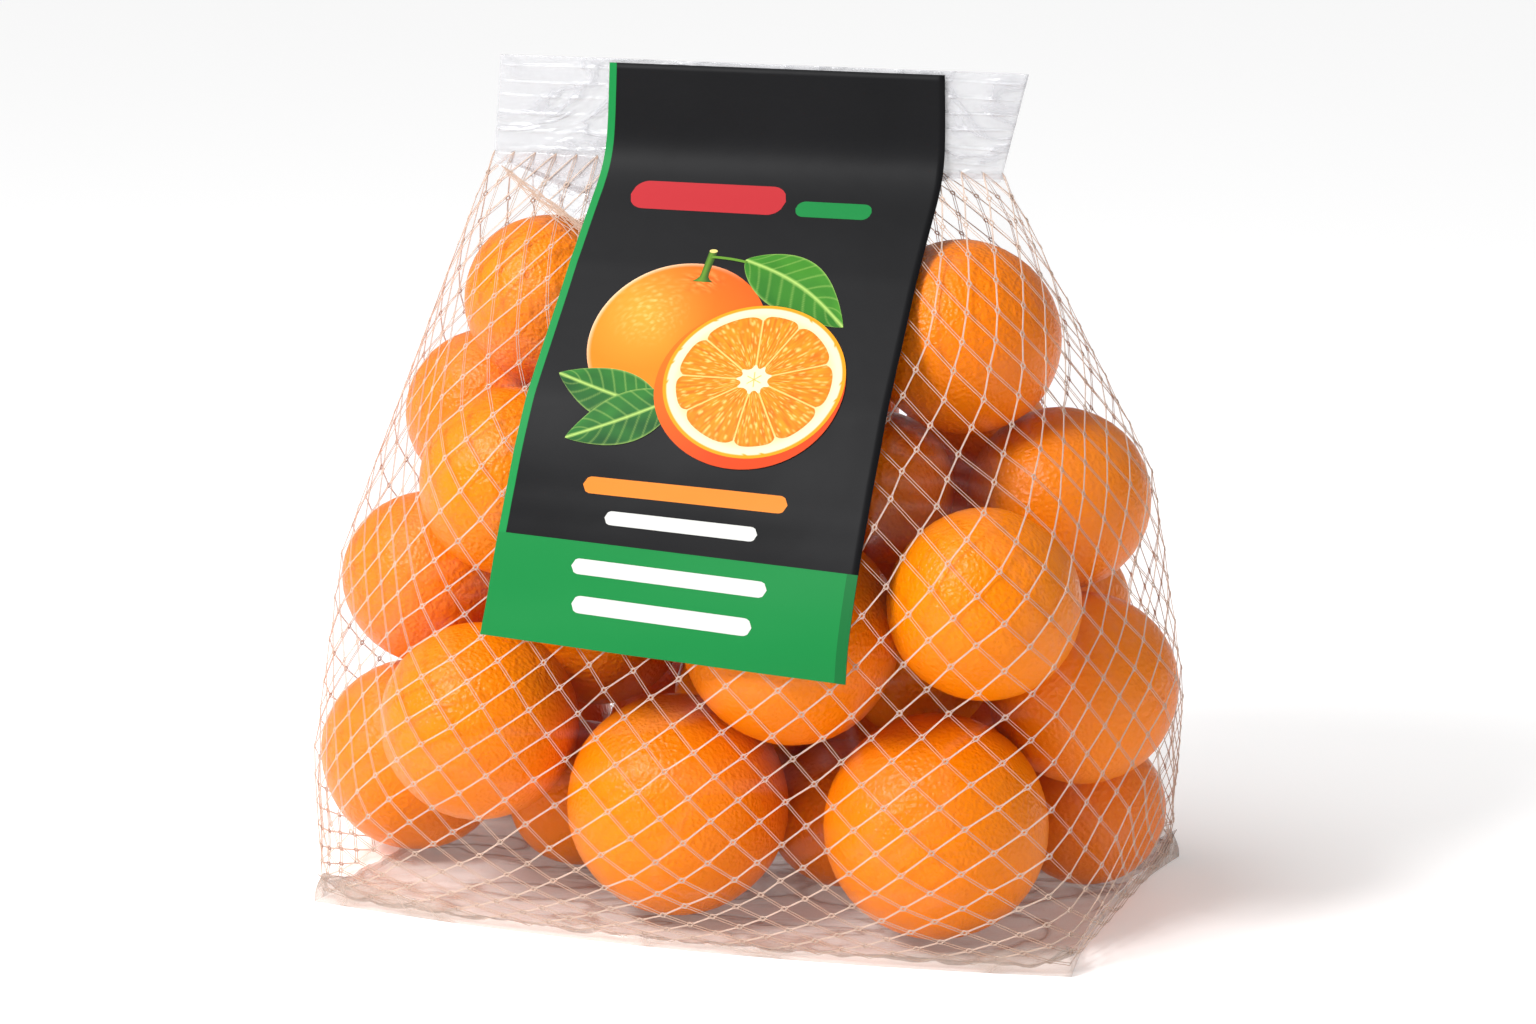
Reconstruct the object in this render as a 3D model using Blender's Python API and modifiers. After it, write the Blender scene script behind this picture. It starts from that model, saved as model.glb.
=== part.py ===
"""Net of oranges: a heap of sweet oranges held in a taut net bag.

The bag hangs together from four pieces: the filled net, the clear film band
welded across its top, the printed label that folds down from that band over the
front, and the clear film that the fruit stands on.

Units are metres, +Z is up, the front faces -Y, and the origin is the middle of
the bag's underside.
"""

import math

import bmesh
import bpy
import numpy as np
from mathutils import Matrix, Vector
from mathutils.bvhtree import BVHTree

MM = 0.001
COLLECTION = "net_of_oranges"

# Driving dimensions
GAP = 0.3 * MM              # clearance between neighbouring pieces
FILM = 0.8 * MM             # thickness given to a sheet of film or label
NET = 0.9 * MM              # how far the net stands off the fruit's skin
TOP = 271 * MM              # top edge of the header band
HEADER_BOTTOM = 239 * MM    # where the net is welded into the band
HEADER_TOP_WIDTH = 178 * MM
HEADER_LOW_WIDTH = 175 * MM
HEADER_RIBS = 6             # weld lines pressed along the band
RIB_HEIGHT = 0.5 * MM
BASE_WIDTH = 254 * MM       # corner to corner along X
BASE_DEPTH = 140 * MM       # corner to corner along Y
BASE_BULGE = 12 * MM        # how far the long edges bow out between corners
SIDE_TUCK = 6 * MM          # how far the short edges pull in between corners
EDGE_LIFT = 2.5 * MM        # the welded long edges stand a little off the ground
EAR_LIFT = 6 * MM           # the pointed corners turn up
FOLD_ROW = 2 / 3            # the row of the sheet's grid that the edges fold up along
FOLD_AT = 0.9               # and how far out that row lies
NET_INSET = 10 * MM         # the net meets the film this far inside its corners
LABEL_WIDTH = 118 * MM      # half way down
LABEL_FLARE = 0.045         # share by which it widens below there and narrows above
LABEL_TOP = 270 * MM
LABEL_MIDDLE = 8 * MM       # the label hangs a little right of the band's middle
LABEL_DROP = 168 * MM       # length of label below the header band
LABEL_DRIFT = -10 * MM      # sideways wander of the label's lower edge
LABEL_SWEEP = 1.6           # power of that wander, which grows towards the foot
LABEL_SKEW = 2.5 * MM       # right corner hangs lower, left corner higher
PROFILE_STEP = 3 * MM       # spacing of the heights at which the label feels for the fruit
PROFILE_LOWEST = 70 * MM    # the lowest of them
PROFILE_COLUMNS = 23        # places across the label felt at each height

# The fruit, a tier at a time: x, y, z and diameter in millimetres, and how
# freely it may roll while the heap settles (0 is held, 1 is loose).
TIERS = {
    "bottom_front": [
        (-9, -48, 38, 72, 0.02), (77, -47, 38, 72, 0.02), (-118, -6, 34, 65, 0.05),
        (-58, -8, 27, 50, 0.1), (33, -5, 27, 50, 0.1), (107, 22, 27, 52, 0.05),
    ],
    "second_front": [
        (-77, -50, 60, 65, 0.02), (-111, -6, 95, 60, 0.02), (-55, 3, 84, 57, 0.2),
        (29, -50, 96, 70, 0.02), (93, -54, 112, 61, 0.02), (112, -4, 75, 62, 0.02),
    ],
    "middle": [
        (-4, 13, 60, 54, 0.5), (-9, 8, 113, 54, 0.6), (55, 4, 79, 53, 0.5),
    ],
    "third_front": [
        (-70, -36, 137, 62, 0.02), (-99, 17, 147, 58, 0.03), (-9, -31, 154, 60, 0.3),
        (100, 7, 134, 60, 0.02), (46, -12, 138, 50, 0.3),
    ],
    "top": [
        (-69, -4, 191, 57, 0.02), (73, -5, 185, 64, 0.02), (2, 12, 198, 56, 0.3),
    ],
    "bottom_back": [
        (-94, 57, 30, 56, 1), (-37, 59, 31, 58, 1), (21, 60, 31, 58, 1), (76, 65, 30, 54, 1),
    ],
    "second_back": [
        (-88, 50, 88, 58, 1), (-31, 57, 88, 58, 1), (27, 55, 90, 58, 1), (84, 51, 87, 58, 1),
    ],
    "third_back": [
        (-46, 48, 142, 57, 1), (10, 48, 147, 56, 1), (64, 48, 139, 54, 1),
    ],
}
BAG_DEPTH = ([0, 60, 120, 240], [88, 90, 82, 42])   # half depth in mm at heights in mm
BED_SLACK = 0.5             # mm between the lowest fruit and the net under it
SETTLE_ROUNDS = 400
SETTLE_STEP = 0.8           # share of an overlap undone in one round


def settle():
    """Roll the fruit apart until none overlap; give centres and radii in metres."""
    table = np.array([row for tier in TIERS.values() for row in tier], float)
    place = table[:, :3].copy()
    radius = table[:, 3] / 2
    loose = table[:, 4]
    bed = radius + (FILM + GAP) / MM + BED_SLACK
    for _ in range(SETTLE_ROUNDS):
        for i in range(len(place)):
            for j in range(i + 1, len(place)):
                between = place[j] - place[i]
                length = max(float(np.linalg.norm(between)), 1e-6)
                lap = radius[i] + radius[j] - length
                if lap > 0:
                    push = between / length * lap * SETTLE_STEP / (loose[i] + loose[j])
                    place[i] -= push * loose[i]
                    place[j] += push * loose[j]
        place[:, 2] = np.maximum(place[:, 2], bed)
        depth = np.interp(place[:, 2], *BAG_DEPTH)
        place[:, 1] = np.clip(place[:, 1], radius - depth, depth - radius)
    return place * MM, radius * MM


def material(name, colour, roughness, alpha=1.0):
    """A Principled material."""
    made = bpy.data.materials.new(name)
    made.use_nodes = True
    shader = made.node_tree.nodes["Principled BSDF"]
    shader.inputs["Base Color"].default_value = (*colour, 1)
    shader.inputs["Roughness"].default_value = roughness
    shader.inputs["Metallic"].default_value = 0.0
    shader.inputs["Alpha"].default_value = alpha
    return made


def finish_piece(name, bm, finish, collection):
    """Turn a bmesh into a named object in the object's collection."""
    mesh = bpy.data.meshes.new(name)
    bm.to_mesh(mesh)
    bm.free()
    piece = bpy.data.objects.new(name, mesh)
    mesh.materials.append(finish)
    collection.objects.link(piece)
    return piece


def thicken(piece, thickness, offset):
    """Give a sheet its thickness, to one side of it."""
    solid = piece.modifiers.new("Thickness", "SOLIDIFY")
    solid.thickness = thickness
    solid.offset = offset
    solid.use_even_offset = True


def sheet_grid(columns, rows, shape):
    """A grid over u in -1..1 and v in 0..1, bent to the points that shape(u, v) gives."""
    bm = bmesh.new()
    bmesh.ops.create_grid(bm, x_segments=columns, y_segments=rows, size=1)
    for vert in bm.verts:
        vert.co = shape(vert.co.x, (vert.co.y + 1) / 2)
    return bm


def filled_net(collection):
    """The net drawn taut over the fruit, from the header's weld to the base's corners."""
    points = bmesh.new()
    for centre, radius in zip(*settle()):
        bmesh.ops.create_icosphere(
            points, subdivisions=3, radius=radius + NET, matrix=Matrix.Translation(centre)
        )
    bed = FILM + GAP
    corner_x = BASE_WIDTH / 2 - NET_INSET
    corner_y = BASE_DEPTH / 2 - NET_INSET
    weld_x = HEADER_LOW_WIDTH / 2
    for side in (-1, 1):
        for front in (-1, 1):
            points.verts.new((side * corner_x, front * corner_y, bed))
            points.verts.new((side * weld_x, front * MM, HEADER_BOTTOM - GAP))
    bm = bmesh.new()
    for vert in points.verts:
        bm.verts.new((vert.co.x, vert.co.y, max(vert.co.z, bed)))
    points.free()
    bmesh.ops.remove_doubles(bm, verts=bm.verts, dist=0.05 * MM)
    hull = bmesh.ops.convex_hull(bm, input=bm.verts)
    inside = {e for e in hull["geom_interior"] + hull["geom_unused"] if isinstance(e, bmesh.types.BMVert)}
    bmesh.ops.delete(bm, geom=list(inside), context="VERTS")
    bmesh.ops.recalc_face_normals(bm, faces=bm.faces)
    surface = BVHTree.FromBMesh(bm)
    finish = material("orange_fruit_in_net", (0.85, 0.30, 0.02), 0.4)
    finish_piece("filled_net", bm, finish, collection)
    return surface


def header_film(collection):
    """The clear band across the top, pressed with weld lines and a little buckled."""

    def shape(u, v):
        width = HEADER_LOW_WIDTH + (HEADER_TOP_WIDTH - HEADER_LOW_WIDTH) * v
        rib = RIB_HEIGHT / 2 * math.cos(2 * math.pi * HEADER_RIBS * v)
        return Vector((u * width / 2, rib, HEADER_BOTTOM + (TOP - HEADER_BOTTOM) * v))

    bm = sheet_grid(10, 6 * HEADER_RIBS, shape)
    bmesh.ops.recalc_face_normals(bm, faces=bm.faces)
    piece = finish_piece("header_film", bm, material("clear_film", (0.9, 0.9, 0.92), 0.2, 0.4), collection)
    thicken(piece, FILM, 0)


def label_profile(surface):
    """Rows from the band down: height, how far forward the label's middle lies, and its sideways slope."""
    off_middle = np.linspace(LABEL_DRIFT - LABEL_WIDTH / 2, LABEL_WIDTH / 2, PROFILE_COLUMNS)
    rows = [(LABEL_TOP, 0.0, 0.0), (HEADER_BOTTOM, 0.0, 0.0)]
    for height in np.arange(HEADER_BOTTOM - PROFILE_STEP, PROFILE_LOWEST, -PROFILE_STEP):
        fronts = []
        for across in off_middle:
            hit = surface.ray_cast(Vector((LABEL_MIDDLE + across, -1, height)), Vector((0, 1, 0)))[0]
            fronts.append(hit.y if hit else 0.0)
        slope = np.polyfit(off_middle, fronts, 1)[0]
        rows.append((float(height), float(np.min(fronts - slope * off_middle)), float(slope)))
    return np.array(rows).T


def label_panel(collection, surface):
    """The printed sheet that hangs from the band and rests on the foremost fruit."""
    heights, fronts, slopes = label_profile(surface)
    off = FILM / 2 + RIB_HEIGHT / 2 + 2 * GAP
    run = np.concatenate([[0], np.cumsum(np.hypot(np.diff(heights), np.diff(fronts)))])
    band = LABEL_TOP - HEADER_BOTTOM
    length = band + LABEL_DROP

    def shape(u, v):
        along = (1 - v) * length
        below = max(0.0, along - band) / LABEL_DROP
        flare = 1 + LABEL_FLARE * (1 - 2 * v)
        across = u * LABEL_WIDTH / 2 * flare + LABEL_DRIFT * (1 - v) ** LABEL_SWEEP
        along += LABEL_SKEW * u * below
        z = float(np.interp(along, run, heights))
        y = float(np.interp(along, run, fronts)) + across * float(np.interp(along, run, slopes)) - off
        return Vector((LABEL_MIDDLE + across, y, z))

    bm = sheet_grid(10, 40, shape)
    bmesh.ops.recalc_face_normals(bm, faces=bm.faces)
    if sum(face.normal.y for face in bm.faces) > 0:
        bmesh.ops.reverse_faces(bm, faces=bm.faces)
    piece = finish_piece("label_panel", bm, material("printed_label", (0.015, 0.015, 0.015), 0.45), collection)
    thicken(piece, FILM, 1)


def base_film(collection):
    """The clear sheet under the fruit: flat inside, its bowed welded edges folded up to pointed corners."""

    def shape(u, v):
        across = 2 * v - 1
        w = math.copysign(float(np.interp(abs(across), [0, FOLD_ROW, 1], [0, FOLD_AT, 1])), across)
        x = u * (BASE_WIDTH / 2 - SIDE_TUCK * (1 - w * w))
        y = w * (BASE_DEPTH / 2 + BASE_BULGE * (1 - u * u))
        on_edge = abs(w) > 0.999
        on_corner = on_edge and abs(u) > 0.999
        return Vector((x, y, EAR_LIFT if on_corner else EDGE_LIFT if on_edge else 0.0))

    bm = sheet_grid(8, 6, shape)
    bmesh.ops.recalc_face_normals(bm, faces=bm.faces)
    if sum(face.normal.z for face in bm.faces) < 0:
        bmesh.ops.reverse_faces(bm, faces=bm.faces)
    piece = finish_piece("base_film", bm, material("clear_base_film", (0.85, 0.83, 0.82), 0.25, 0.4), collection)
    thicken(piece, FILM, 1)


def main():
    for old in list(bpy.data.objects):
        bpy.data.objects.remove(old)
    collection = bpy.data.collections.new(COLLECTION)
    bpy.context.scene.collection.children.link(collection)
    surface = filled_net(collection)
    header_film(collection)
    label_panel(collection, surface)
    base_film(collection)


main()
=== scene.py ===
"""Net of oranges: the looks of a taut net bag of fruit with a film header and a printed label.

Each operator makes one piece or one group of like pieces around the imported
model. Lengths are metres, +Z is up and the label faces -Y.
"""

import math
import random
from types import SimpleNamespace

import bmesh
import bpy
import numpy as np
from bpy.props import FloatProperty, FloatVectorProperty, IntProperty, PointerProperty
from mathutils import Matrix, Vector, noise
from mathutils.bvhtree import BVHTree


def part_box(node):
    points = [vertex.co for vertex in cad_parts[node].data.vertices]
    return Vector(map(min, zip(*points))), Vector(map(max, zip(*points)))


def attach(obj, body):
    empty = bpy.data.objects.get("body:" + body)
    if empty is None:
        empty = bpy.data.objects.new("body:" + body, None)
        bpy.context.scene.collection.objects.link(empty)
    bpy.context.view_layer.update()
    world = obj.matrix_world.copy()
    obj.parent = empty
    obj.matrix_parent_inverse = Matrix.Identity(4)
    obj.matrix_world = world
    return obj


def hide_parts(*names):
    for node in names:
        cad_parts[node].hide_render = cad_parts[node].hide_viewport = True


bl_info = {
    "name": "Net of Oranges",
    "version": (1, 0, 0),
    "blender": (4, 5, 0),
    "location": "View3D > Sidebar > Net Bag",
    "description": "Builds the fruit, net, film and label of a net bag of oranges",
    "category": "Add Mesh",
}

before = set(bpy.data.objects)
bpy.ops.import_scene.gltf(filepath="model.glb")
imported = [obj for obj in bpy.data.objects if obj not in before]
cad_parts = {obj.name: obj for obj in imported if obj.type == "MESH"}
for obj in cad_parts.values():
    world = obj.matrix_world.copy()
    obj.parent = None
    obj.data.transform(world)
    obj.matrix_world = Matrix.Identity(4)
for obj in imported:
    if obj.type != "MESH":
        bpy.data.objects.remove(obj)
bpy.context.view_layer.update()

MM = 0.001
HEADER_LOW, HEADER_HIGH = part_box("header_film")
BASE_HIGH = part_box("base_film")[1]
HEADER_HALF_LOW = HEADER_HIGH.x - 2.8 * MM      # the band is a little narrower at its foot
HEADER_LEAN_LOW = -3.2 * MM                     # and leans: its foot lies left of its top
HEADER_LEAN_HIGH = 2.2 * MM
SKIRT_DEPTH = 22 * MM       # how far the header film reaches down over the net, at most
SKIRT_LEAST = 2 * MM        # and everywhere
SKIRT_ONSET = 0.55          # share of the half width over which it comes to its full depth
NET_STAND_OFF = 1.1 * MM    # how far the net lies off the fruit
LINING_STAND_OFF = 0.6 * MM     # and the lining film under it
BED = 0.0011                # height of the fruit's bed: the film and its clearance

# The fruit, a tier at a time: x, y, z and diameter in millimetres, and how
# freely it may roll while the heap settles (0 is held, 1 is loose).
TIERS = {
    "bottom_front": [
        (-9, -48, 38, 72, 0.02), (77, -47, 38, 72, 0.02), (-118, -6, 34, 65, 0.05),
        (-58, -8, 27, 50, 0.1), (33, -5, 27, 50, 0.1), (107, 22, 27, 52, 0.05),
    ],
    "second_front": [
        (-77, -50, 60, 65, 0.02), (-111, -6, 95, 60, 0.02), (-55, 3, 84, 57, 0.2),
        (29, -50, 96, 70, 0.02), (93, -54, 112, 61, 0.02), (112, -4, 75, 62, 0.02),
    ],
    "middle": [
        (-4, 13, 60, 54, 0.5), (-9, 8, 113, 54, 0.6), (55, 4, 79, 53, 0.5),
    ],
    "third_front": [
        (-70, -36, 137, 62, 0.02), (-99, 17, 147, 58, 0.03), (-9, -31, 154, 60, 0.3),
        (100, 7, 134, 60, 0.02), (46, -12, 138, 50, 0.3),
    ],
    "top": [
        (-69, -4, 191, 57, 0.02), (73, -5, 185, 64, 0.02), (2, 12, 198, 56, 0.3),
    ],
    "bottom_back": [
        (-94, 57, 30, 56, 1), (-37, 59, 31, 58, 1), (21, 60, 31, 58, 1), (76, 65, 30, 54, 1),
    ],
    "second_back": [
        (-88, 50, 88, 58, 1), (-31, 57, 88, 58, 1), (27, 55, 90, 58, 1), (84, 51, 87, 58, 1),
    ],
    "third_back": [
        (-46, 48, 142, 57, 1), (10, 48, 147, 56, 1), (64, 48, 139, 54, 1),
    ],
}
BAG_DEPTH = ([0, 60, 120, 240], [88, 90, 82, 42])   # half depth in mm at heights in mm
SETTLE_ROUNDS = 400
SETTLE_STEP = 0.8
BASE_SHAPE = 70 / 127       # the base film's corner to corner depth over its width
BASE_TUCK = 6 * MM          # how far its short sides curve in


# ---- small tools

def colour(hex_code):
    """An sRGB hex colour as linear RGB."""
    parts = [int(hex_code[i:i + 2], 16) / 255 for i in (1, 3, 5)]
    return tuple(c / 12.92 if c <= 0.04045 else ((c + 0.055) / 1.055) ** 2.4 for c in parts)


def rough(x, y, z):
    """Smooth noise, about -1 to 1, at a place."""
    return noise.noise(Vector((x, y, z)))


def node(tree, kind, settings=None, links=None):
    """Add a node; settings are its attributes or socket values, links feed its sockets."""
    made = tree.nodes.new(kind)
    for key, value in (settings or {}).items():
        if isinstance(key, str) and hasattr(made, key):
            setattr(made, key, value)
        else:
            made.inputs[key].default_value = value
    for key, source in (links or {}).items():
        tree.links.new(source, made.inputs[key])
    return made


def ramp(tree, stops, fac):
    """A colour ramp through (place, colour) stops."""
    made = node(tree, "ShaderNodeValToRGB", links={"Fac": fac})
    elements = made.color_ramp.elements
    while len(elements) < len(stops):
        elements.new(0.5)
    for element, (place, shade) in zip(elements, stops):
        element.position = place
        element.color = (*shade, 1) if len(shade) == 3 else shade
    return made.outputs["Color"]


def fresh_material(name):
    """A node material holding one Principled shader; gives material, tree and shader."""
    made = bpy.data.materials.new(name)
    made.use_nodes = True
    tree = made.node_tree
    return made, tree, tree.nodes["Principled BSDF"]


def object_coords(tree):
    return node(tree, "ShaderNodeTexCoord").outputs["Object"]


def clouds(tree, coords, scale, detail, distortion=0.0):
    """The grey pattern of a noise texture."""
    settings = {"Scale": scale, "Detail": detail, "Distortion": distortion}
    return node(tree, "ShaderNodeTexNoise", settings, {"Vector": coords}).outputs["Fac"]


def scaled_sum(tree, value, factor, addend, clamp=False):
    """value times factor, plus addend."""
    settings = {"operation": "MULTIPLY_ADD", 1: factor, "use_clamp": clamp}
    return node(tree, "ShaderNodeMath", settings, {0: value, 2: addend}).outputs[0]


def remap(tree, value, high, first, last):
    """value, from 0 to high, turned into first to last."""
    settings = {"From Min": 0.0, "From Max": high, "To Min": first, "To Max": last}
    return node(tree, "ShaderNodeMapRange", settings, {"Value": value}).outputs["Result"]


def finish_shader(tree, shader, values, colour_from=None, relief=None):
    """Set a shader's sockets; relief is a height output, its strength and its depth."""
    for key, value in values.items():
        shader.inputs[key].default_value = value
    if colour_from is not None:
        tree.links.new(colour_from, shader.inputs["Base Color"])
    if relief:
        height, strength, depth = relief
        bump = node(tree, "ShaderNodeBump", {"Strength": strength, "Distance": depth}, {"Height": height})
        tree.links.new(bump.outputs["Normal"], shader.inputs["Normal"])


def flat_grid(columns, rows, half=1):
    """A bmesh grid from -half to half both ways, to be bent into shape."""
    bm = bmesh.new()
    bmesh.ops.create_grid(bm, x_segments=columns, y_segments=rows, size=half)
    return bm


def new_piece(name, bm, finish, smooth=True):
    """A bmesh as a named object at the origin."""
    mesh = bpy.data.meshes.new(name)
    bm.to_mesh(mesh)
    bm.free()
    mesh.materials.append(finish)
    if smooth:
        mesh.shade_smooth()
    made = bpy.data.objects.new(name, mesh)
    bpy.context.scene.collection.objects.link(made)
    return made


def thicken(made, thickness, offset=-1):
    """Give a sheet its thickness: inwards for an offset of -1, outwards for 1."""
    solid = made.modifiers.new("Film", "SOLIDIFY")
    solid.thickness = thickness
    solid.offset = offset


def place_in_bag(made, slot, *replaced):
    """The piece rides on the bag's one body and the imported parts it replaces are hidden; its slot is not
    used.
    """
    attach(made, "root")
    if replaced:
        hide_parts(*replaced)


def settle():
    """Roll the fruit apart until none overlap; give centres and radii in metres."""
    table = np.array([row for tier in TIERS.values() for row in tier], float)
    place = table[:, :3].copy()
    radius = table[:, 3] / 2
    loose = table[:, 4]
    bed = radius + BED / MM + 0.5
    for _ in range(SETTLE_ROUNDS):
        for i in range(len(place)):
            for j in range(i + 1, len(place)):
                between = place[j] - place[i]
                length = max(float(np.linalg.norm(between)), 1e-6)
                lap = radius[i] + radius[j] - length
                if lap > 0:
                    push = between / length * lap * SETTLE_STEP / (loose[i] + loose[j])
                    place[i] -= push * loose[i]
                    place[j] += push * loose[j]
        place[:, 2] = np.maximum(place[:, 2], bed)
        depth = np.interp(place[:, 2], *BAG_DEPTH)
        place[:, 1] = np.clip(place[:, 1], radius - depth, depth - radius)
    return place * MM, radius * MM


FRUIT = settle()


def skirt_depth(u):
    """How far the header film hangs below the band; u runs from -1, the deep end's edge, to 1."""
    if u < 0:
        share = min(1.0, (1 + u) / SKIRT_ONSET) ** 0.9
    else:
        share = max(0.0, 1 - u) ** 2.5
    return SKIRT_LEAST + SKIRT_DEPTH * share


def rim_spot(turn):
    """A point of the base film's welded rim; turn counts the corners passed, from the front left one."""
    half_x = BASE_HIGH.x
    half_y = half_x * BASE_SHAPE
    side, along = int(turn) % 4, (turn % 1) * 2 - 1
    bow = 1 - along * along
    if side % 2 == 0:
        spot = Vector((along * half_x, -half_y - (BASE_HIGH.y - half_y) * bow, 0))
    else:
        spot = Vector((half_x - BASE_TUCK * bow, along * half_y, 0))
    return -spot if side >= 2 else spot


def skin(stand_off):
    """The taut surface over the fruit from header to rim, as a bmesh; it bridges every hollow."""
    points = bmesh.new()
    for centre, radius in zip(*FRUIT):
        bmesh.ops.create_icosphere(
            points, subdivisions=4, radius=radius + stand_off, matrix=Matrix.Translation(centre)
        )
    for side in (-1, 1):
        points.verts.new((HEADER_LEAN_LOW + side * HEADER_HALF_LOW, 0, HEADER_LOW.z + MM))
    for turn in np.arange(0, 4, 1 / 12):
        spot = rim_spot(turn)
        points.verts.new((spot.x * 0.985, spot.y * 0.985, 1.5 * MM))
    bm = bmesh.new()
    for vert in points.verts:
        bm.verts.new((vert.co.x, vert.co.y, max(vert.co.z, BED)))
    points.free()
    bmesh.ops.remove_doubles(bm, verts=bm.verts, dist=0.05 * MM)
    hull = bmesh.ops.convex_hull(bm, input=bm.verts)
    inside = {e for e in hull["geom_interior"] + hull["geom_unused"] if isinstance(e, bmesh.types.BMVert)}
    bmesh.ops.delete(bm, geom=list(inside), context="VERTS")
    bmesh.ops.recalc_face_normals(bm, faces=bm.faces)
    return bm


def net_tree():
    """The taut surface that the net lies on, ready for rays."""
    bm = skin(NET_STAND_OFF)
    tree = BVHTree.FromBMesh(bm)
    bm.free()
    return tree


# ---- settings

def colour_prop(name, description, hex_code):
    return FloatVectorProperty(
        name=name, description=description, subtype="COLOR", size=3, min=0, max=1, default=colour(hex_code)
    )


def length_prop(name, description, default):
    return FloatProperty(
        name=name, description=description, default=default, unit="LENGTH", subtype="DISTANCE"
    )


class FruitSettings(bpy.types.PropertyGroup):
    """Sizes and colours of the oranges."""

    peel: colour_prop("Peel", "Colour of a ripe peel", "#F28600")
    peel_deep: colour_prop("Deep peel", "Colour of the redder fruit", "#EC7000")
    pore_size: length_prop("Pore size", "Spacing of the oil glands", 1.5 * MM)
    lump: length_prop("Lumpiness", "How far the fruit stray from round", 0.5 * MM)


class NetSettings(bpy.types.PropertyGroup):
    """Sizes and colours of the knitted net."""

    filament: length_prop("Filament", "Thickness of one filament", 0.27 * MM)
    twin_gap: length_prop("Twin gap", "Distance between paired filaments", 0.68 * MM)
    columns: IntProperty(name="Columns", description="Meshes round the bag", default=48, min=12, max=120)
    cell: length_prop("Cell side", "Length of one side of a mesh", 11.5 * MM)
    shade: colour_prop("Filament colour", "Colour of the tight rising strands", "#E4CDBC")
    shade_open: colour_prop("Open strand colour", "Colour of the looser falling strands", "#D2B29C")


class FilmSettings(bpy.types.PropertyGroup):
    """The clear film's tints; the base film's tint is painted shade and painted orange reflection."""

    band: colour_prop("Header film", "Tint of the welded header film", "#CFCFD3")
    # painted shade and reflection: this warm grey-brown tint stands in for the shade under the fruit and
    # the orange light reflected onto the clear film
    base: colour_prop("Base film", "Tint of the film under the fruit", "#C9B5A8")
    ribs: IntProperty(name="Ribs", description="Weld lines along the header", default=6, min=1, max=12)


class LabelSettings(bpy.types.PropertyGroup):
    """Size and print colours of the label."""

    width: length_prop("Width", "Width of the label", 118 * MM)
    ground: colour_prop("Ground", "The label's dark field", "#111113")
    band: colour_prop("Band", "The green band across the foot", "#157C3C")
    band_edge: colour_prop("Border", "The green border down the left edge", "#178542")
    edge: length_prop("Border width", "Width of the green border", 2.6 * MM)


class BagSettings(bpy.types.PropertyGroup):
    """Every setting of the bag."""

    fruit: PointerProperty(type=FruitSettings)
    net: PointerProperty(type=NetSettings)
    film: PointerProperty(type=FilmSettings)
    label: PointerProperty(type=LabelSettings)


# ---- materials

PORE_WARP = 2.2 * MM        # how far noise moves the oil glands out of their even spacing
CREASE_STRETCH = (0.55, 1.0, 1.25)      # creases run longer across the film than up it
CREASE_HALF = 0.10          # how far from the noise's middle value a crease reaches
PRINT_SHEEN = {"Roughness": 0.5, "IOR": 1.48, "Specular IOR Level": 0.12}
PRINT_VARIATION = 0.12      # share by which the dark ink is uneven


def waxed_peel(settings):
    """Orange peel: waxy skin over oil glands, so highlights break up into small arcs."""
    made, tree, shader = fresh_material("waxed orange peel")
    coords = object_coords(tree)
    pore = settings.pore_size
    tint = node(tree, "ShaderNodeAttribute", {"attribute_name": "tint"}).outputs["Fac"]
    blend = scaled_sum(tree, clouds(tree, coords, 22.0, 3.0), 0.45, tint)
    base = ramp(tree, [(0.1, settings.peel), (1.0, settings.peel_deep)], blend)
    warp = node(tree, "ShaderNodeTexNoise", {"Scale": 0.35 / pore, "Detail": 2.0}, {"Vector": coords})
    moved = node(
        tree, "ShaderNodeVectorMath", {"operation": "MULTIPLY_ADD", 1: (PORE_WARP, PORE_WARP, PORE_WARP)},
        {0: warp.outputs["Color"], 2: coords},
    )
    pores = node(
        tree, "ShaderNodeTexVoronoi", {"feature": "SMOOTH_F1", "Scale": 1 / pore, "Smoothness": 0.7},
        {"Vector": moved.outputs[0]},
    )
    height = scaled_sum(tree, clouds(tree, coords, 1.6 / pore, 3.0), 0.5, pores.outputs["Distance"])
    values = {
        "Roughness": 0.27, "IOR": 1.45, "Specular IOR Level": 0.22, "Subsurface Weight": 0.12,
        "Subsurface Radius": (1.0, 0.35, 0.08), "Subsurface Scale": 2 * MM,
    }
    finish_shader(tree, shader, values, base, (height, 0.9, 0.5 * MM))
    return made


def knitted_filament(name, shade, alpha):
    """Drawn polyethylene filament: milky, slightly see-through, with a soft shine."""
    made, tree, shader = fresh_material(name)
    pale = tuple(min(1.0, c * 1.12) for c in shade)
    base = ramp(tree, [(0.35, shade), (0.65, pale)], clouds(tree, object_coords(tree), 60.0, 2.0))
    finish_shader(tree, shader, {"Roughness": 0.38, "IOR": 1.5, "Alpha": alpha}, base)
    return made


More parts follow.
